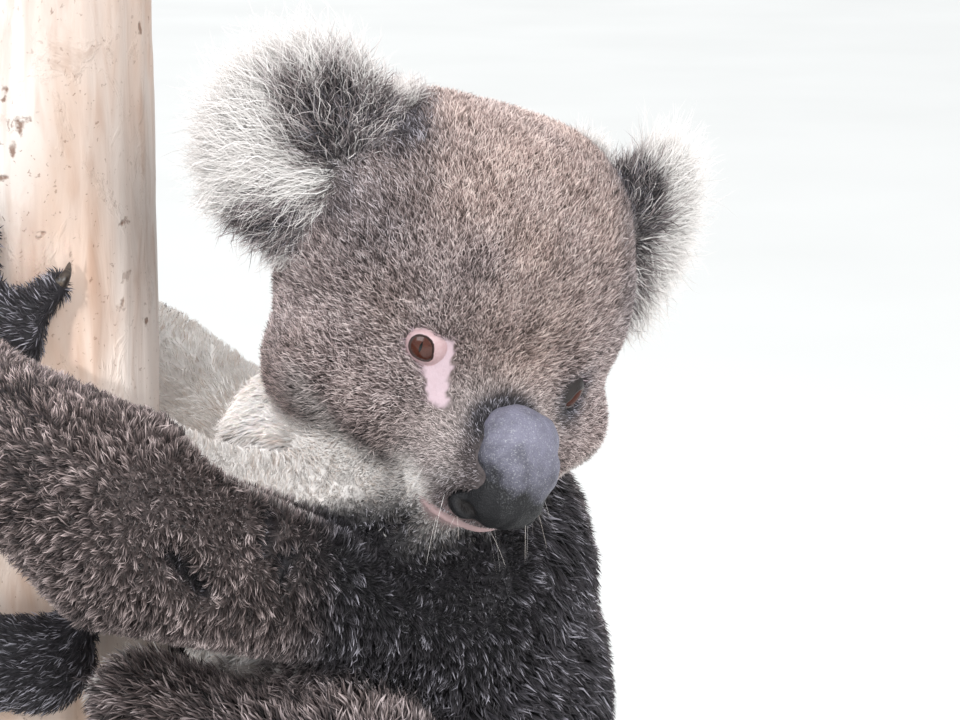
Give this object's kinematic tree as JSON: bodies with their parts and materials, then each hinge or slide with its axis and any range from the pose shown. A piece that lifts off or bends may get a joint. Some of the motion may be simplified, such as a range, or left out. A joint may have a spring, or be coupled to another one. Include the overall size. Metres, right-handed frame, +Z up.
{
  "type": "koala clinging to a trunk, life-size museum model",
  "caption": "Life-size still koala that hugs a short upright length of gum-tree trunk with its head turned, held on a flat display stand by rods.",
  "frame": {"origin": "centre of the stand base's underside", "axes": "+Z up along the trunk; the koala's chest faces -X, to the trunk, its left side faces -Y, and it looks out past -Y"},
  "size_m": [0.4053, 0.3819, 0.735],
  "materials": {
    "grey_fur": "dense soft fur",
    "nose_skin": "bare pebbled skin",
    "eye": "wet gloss",
    "claw_horn": "satin horn",
    "bark": "smooth pale bark",
    "stand_board": "dark satin lacquer",
    "stand_steel": "satin"
  },
  "bodies": {
    "root": {"claw_foot_left_fifth": "claw_horn", "claw_foot_left_fourth": "claw_horn", "claw_foot_left_second": "claw_horn", "claw_foot_left_third": "claw_horn", "claw_foot_right_fifth": "claw_horn", "claw_foot_right_fourth": "claw_horn", "claw_foot_right_second": "claw_horn", "claw_foot_right_third": "claw_horn", "claw_hand_left_fifth": "claw_horn", "claw_hand_left_fourth": "claw_horn", "claw_hand_left_second": "claw_horn", "claw_hand_left_third": "claw_horn", "claw_hand_left_thumb": "claw_horn", "claw_hand_right_fifth": "claw_horn", "claw_hand_right_fourth": "claw_horn", "claw_hand_right_second": "claw_horn", "claw_hand_right_third": "claw_horn", "claw_hand_right_thumb": "claw_horn", "ear_left": "grey_fur", "ear_right": "grey_fur", "eye_left": "eye", "eye_right": "eye", "foot_left": "grey_fur", "foot_right": "grey_fur", "forearm_left": "grey_fur", "forearm_right": "grey_fur", "hand_left": "grey_fur", "hand_right": "grey_fur", "head": "grey_fur", "neck": "grey_fur", "nose_pad": "nose_skin", "perch_trunk": "bark", "rump": "grey_fur", "shank_left": "grey_fur", "shank_right": "grey_fur", "stand_base": "stand_board", "stand_rod_back": "stand_steel", "stand_rod_front": "stand_steel", "thigh_left": "grey_fur", "thigh_right": "grey_fur", "torso": "grey_fur", "upper_arm_left": "grey_fur", "upper_arm_right": "grey_fur"}
  },
  "joints": []
}
